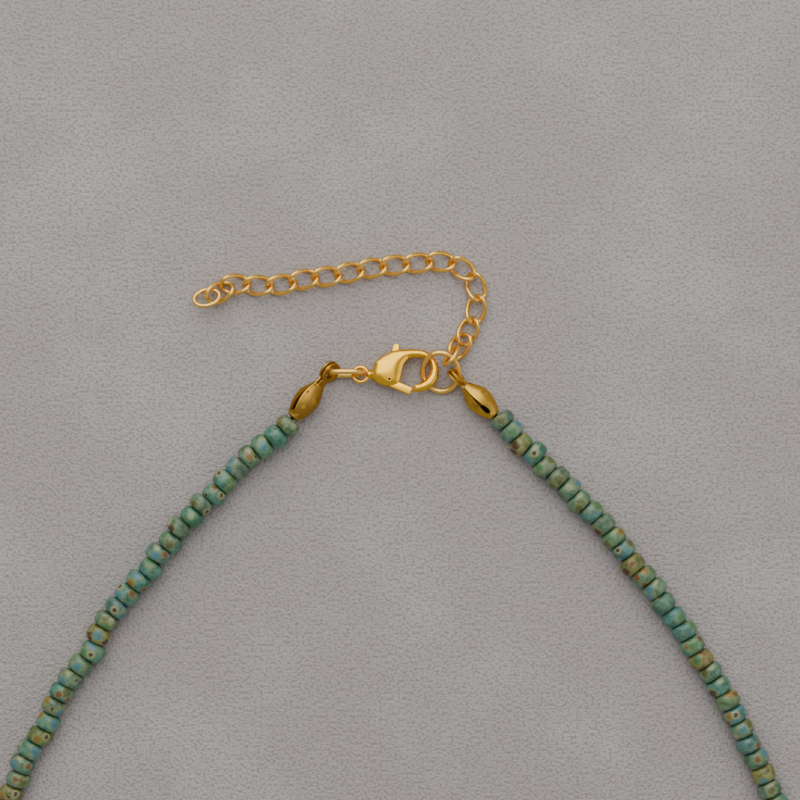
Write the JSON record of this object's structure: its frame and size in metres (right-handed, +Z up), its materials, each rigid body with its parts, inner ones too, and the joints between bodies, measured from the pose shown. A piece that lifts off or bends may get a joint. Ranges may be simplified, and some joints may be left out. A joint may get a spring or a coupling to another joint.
{
  "type": "beaded necklace",
  "caption": "Glass bead necklace with clamshell bead tips, a lobster clasp fastened on a jump ring and a curb extender chain, lying flat in its closed loop.",
  "frame": {"origin": "middle of the necklace's footprint, on the surface that it lies on", "axes": "+Y from the front of the bead loop towards the clasp and extender, +Z up from the surface, +X to the right seen from above"},
  "size_m": [0.1166, 0.17, 0.0037],
  "materials": {
    "turquoise_glass": "opaque satin seed bead glass with a mottled stone-like coating",
    "gold_plate": "polished yellow gold plating",
    "old_gold_plate": "satin, slightly tarnished gold plating"
  },
  "bodies": {
    "necklace": {"bead_strand_01": "turquoise_glass", "bead_strand_02": "turquoise_glass", "bead_strand_03": "turquoise_glass", "bead_strand_04": "turquoise_glass", "bead_strand_05": "turquoise_glass", "bead_strand_06": "turquoise_glass", "bead_strand_07": "turquoise_glass", "bead_strand_08": "turquoise_glass", "bead_strand_09": "turquoise_glass", "bead_strand_10": "turquoise_glass", "bead_strand_11": "turquoise_glass", "bead_strand_12": "turquoise_glass", "bead_tip_left": "old_gold_plate", "bead_tip_right": "old_gold_plate", "clasp_body": "gold_plate", "clasp_pin": "gold_plate", "large_jump_ring": "gold_plate", "small_jump_ring": "gold_plate", "extender_connector": "gold_plate", "extender_link_01": "gold_plate", "extender_link_02": "gold_plate", "extender_link_03": "gold_plate", "extender_link_04": "gold_plate", "extender_link_05": "gold_plate", "extender_link_06": "gold_plate", "extender_link_07": "gold_plate", "extender_link_08": "gold_plate", "extender_link_09": "gold_plate", "extender_link_10": "gold_plate", "extender_link_11": "gold_plate", "extender_link_12": "gold_plate", "extender_link_13": "gold_plate", "extender_link_14": "gold_plate", "extender_link_15": "gold_plate", "extender_link_16": "gold_plate", "extender_end_ring": "gold_plate"},
    "lever": {"clasp_lever": "gold_plate"}
  },
  "joints": [
    {"name": "clasp_lever_pivot", "type": "hinge", "parent": "necklace", "child": "lever", "pos_m": [-0.00021, 0.06777, 0.00163], "axis": [0, 0.1392, 0.9903], "range_deg": [0, 25], "stiffness_Nm_per_rad": 0.006, "springref_deg": -17.19}
  ]
}
